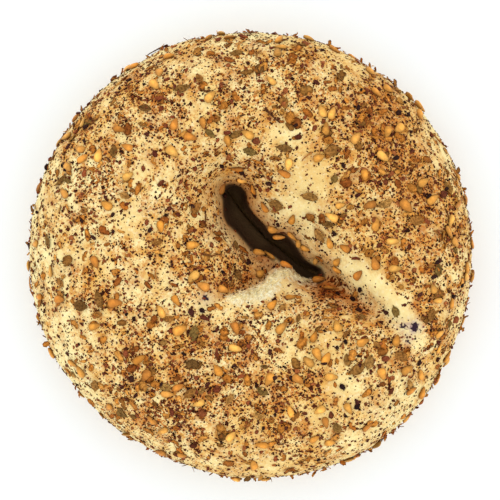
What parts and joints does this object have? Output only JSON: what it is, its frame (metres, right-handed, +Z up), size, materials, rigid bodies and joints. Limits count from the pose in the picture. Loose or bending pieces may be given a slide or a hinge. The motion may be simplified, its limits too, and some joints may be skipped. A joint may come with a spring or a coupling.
{
  "type": "bagel",
  "caption": "Round hand-shaped bagel, its hole closed to a narrow slit beside a lapped rope end, topped with sesame seeds, dried herb leaves and crushed spice.",
  "frame": {"origin": "middle of the whole object's footprint, on the surface it lies on", "axes": "+Z up from the flat base to the crown; +X along the slit, towards the lapped rope end"},
  "size_m": [0.1126, 0.1126, 0.04],
  "materials": {
    "crust": "soft baked crust with a slight sheen",
    "sesame_seed": "toasted, satin",
    "dried_herb": "dry, rough",
    "crushed_spice": "dry, slightly waxy"
  },
  "bodies": {
    "root": {"bagel_ring": "crust", "sesame_seed_01": "sesame_seed", "sesame_seed_02": "sesame_seed", "sesame_seed_03": "sesame_seed", "sesame_seed_04": "sesame_seed", "sesame_seed_05": "sesame_seed", "sesame_seed_06": "sesame_seed", "sesame_seed_07": "sesame_seed", "sesame_seed_08": "sesame_seed", "sesame_seed_09": "sesame_seed", "sesame_seed_10": "sesame_seed", "sesame_seed_11": "sesame_seed", "sesame_seed_12": "sesame_seed", "sesame_seed_13": "sesame_seed", "sesame_seed_14": "sesame_seed", "sesame_seed_15": "sesame_seed", "sesame_seed_16": "sesame_seed", "sesame_seed_17": "sesame_seed", "sesame_seed_18": "sesame_seed", "sesame_seed_19": "sesame_seed", "sesame_seed_20": "sesame_seed", "sesame_seed_21": "sesame_seed", "sesame_seed_22": "sesame_seed", "sesame_seed_23": "sesame_seed", "sesame_seed_24": "sesame_seed", "sesame_seed_25": "sesame_seed", "sesame_seed_26": "sesame_seed", "sesame_seed_27": "sesame_seed", "sesame_seed_28": "sesame_seed", "sesame_seed_29": "sesame_seed", "sesame_seed_30": "sesame_seed", "sesame_seed_31": "sesame_seed", "sesame_seed_32": "sesame_seed", "sesame_seed_33": "sesame_seed", "sesame_seed_34": "sesame_seed", "sesame_seed_35": "sesame_seed", "sesame_seed_36": "sesame_seed", "sesame_seed_37": "sesame_seed", "sesame_seed_38": "sesame_seed", "sesame_seed_39": "sesame_seed", "sesame_seed_40": "sesame_seed", "sesame_seed_41": "sesame_seed", "herb_leaf_01": "dried_herb", "herb_leaf_02": "dried_herb", "herb_leaf_03": "dried_herb", "herb_leaf_04": "dried_herb", "herb_leaf_05": "dried_herb", "herb_leaf_06": "dried_herb", "herb_leaf_07": "dried_herb", "herb_leaf_08": "dried_herb", "herb_leaf_09": "dried_herb", "herb_leaf_10": "dried_herb", "herb_leaf_11": "dried_herb", "spice_flake_01": "crushed_spice", "spice_flake_02": "crushed_spice", "spice_flake_03": "crushed_spice", "spice_flake_04": "crushed_spice", "spice_flake_05": "crushed_spice", "spice_flake_06": "crushed_spice", "spice_flake_07": "crushed_spice"}
  },
  "joints": []
}
